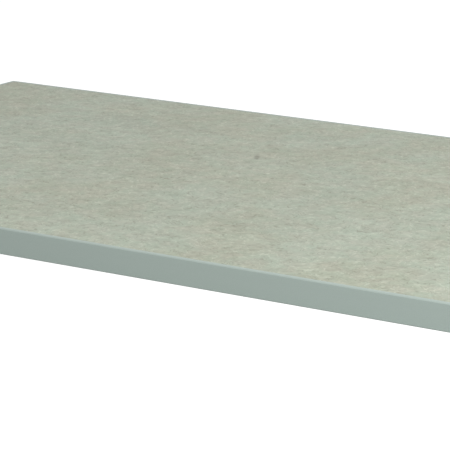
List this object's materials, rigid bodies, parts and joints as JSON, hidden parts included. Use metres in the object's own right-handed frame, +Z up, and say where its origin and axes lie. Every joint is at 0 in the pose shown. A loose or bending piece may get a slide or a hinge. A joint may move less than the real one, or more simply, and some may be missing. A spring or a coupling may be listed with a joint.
{
  "type": "linoleum worktop",
  "caption": "Rectangular workbench top: chipboard core, marbled linoleum sheet on top, balancing laminate below, and grey plastic edging with chamfered arrises on every side.",
  "frame": {"origin": "middle of the underside, on the surface that the worktop lies on", "axes": "+X along the worktop's length, +Y to its back edge, +Z up through the linoleum face"},
  "size_m": [1.5, 0.7, 0.03],
  "materials": {
    "linoleum": "satin",
    "chipboard": "matte",
    "backing": "matte",
    "edging": "satin"
  },
  "bodies": {
    "root": {"linoleum_sheet": "linoleum", "core_board": "chipboard", "backing_sheet": "backing", "front_edging": "edging", "back_edging": "edging", "left_edging": "edging", "right_edging": "edging"}
  },
  "joints": []
}
